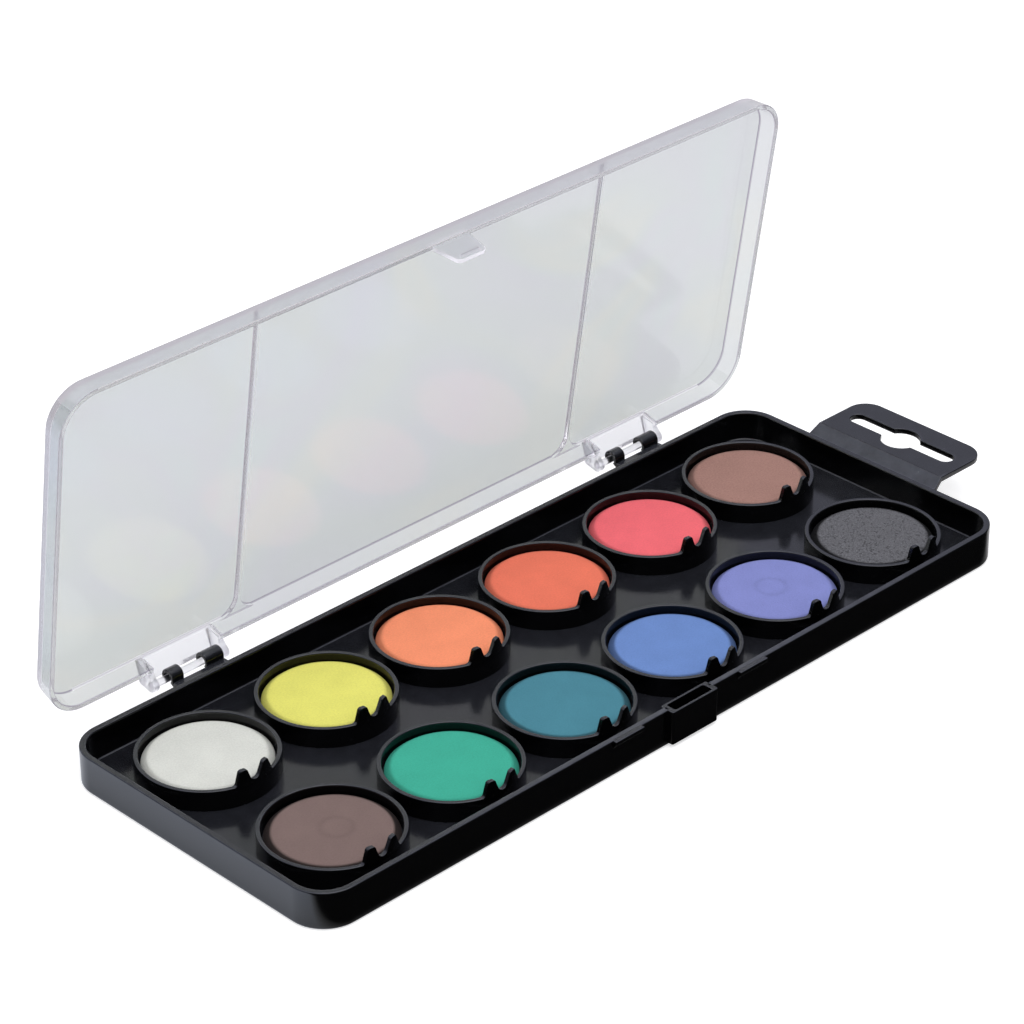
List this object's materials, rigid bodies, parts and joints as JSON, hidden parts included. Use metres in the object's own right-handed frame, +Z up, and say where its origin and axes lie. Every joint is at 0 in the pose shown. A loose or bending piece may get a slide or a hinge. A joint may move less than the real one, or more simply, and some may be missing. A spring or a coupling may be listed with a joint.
{
  "type": "watercolour paint box",
  "caption": "Slim black watercolour box with two rows of round pans of paint, a clear hinged lid with mixing wells and a slotted hang tab.",
  "frame": {"origin": "centre of the tray's flat underside", "axes": "+X along the tray towards the hang tab, +Y back towards the hinges, +Z up out of the tray"},
  "size_m": [0.2187, 0.0867, 0.088],
  "materials": {
    "tray_plastic": "black moulded polystyrene, gloss with a fine satin on the outer walls",
    "pan_plastic": "black moulded polystyrene, gloss",
    "lid_plastic": "clear crystal polystyrene",
    "paint_white": "dry pressed watercolour",
    "paint_yellow": "dry pressed watercolour",
    "paint_orange": "dry pressed watercolour",
    "paint_vermilion": "dry pressed watercolour",
    "paint_crimson": "dry pressed watercolour",
    "paint_light_brown": "dry pressed watercolour",
    "paint_dark_brown": "dry pressed watercolour",
    "paint_green": "dry pressed watercolour",
    "paint_teal": "dry pressed watercolour",
    "paint_blue": "dry pressed watercolour",
    "paint_violet": "dry pressed watercolour",
    "paint_black": "dry pressed watercolour"
  },
  "bodies": {
    "tray": {"tray": "tray_plastic", "pan_white": "pan_plastic", "pan_yellow": "pan_plastic", "pan_orange": "pan_plastic", "pan_vermilion": "pan_plastic", "pan_crimson": "pan_plastic", "pan_light_brown": "pan_plastic", "pan_dark_brown": "pan_plastic", "pan_green": "pan_plastic", "pan_teal": "pan_plastic", "pan_blue": "pan_plastic", "pan_violet": "pan_plastic", "pan_black": "pan_plastic", "tablet_white": "paint_white", "tablet_yellow": "paint_yellow", "tablet_orange": "paint_orange", "tablet_vermilion": "paint_vermilion", "tablet_crimson": "paint_crimson", "tablet_light_brown": "paint_light_brown", "tablet_dark_brown": "paint_dark_brown", "tablet_green": "paint_green", "tablet_teal": "paint_teal", "tablet_blue": "paint_blue", "tablet_violet": "paint_violet", "tablet_black": "paint_black"},
    "lid": {"lid": "lid_plastic"}
  },
  "joints": [
    {"name": "lid_hinge", "type": "hinge", "parent": "tray", "child": "lid", "pos_m": [0, 0.0417, 0.0085], "axis": [-1, 0, 0], "range_deg": [-81.2, 98.8]}
  ]
}
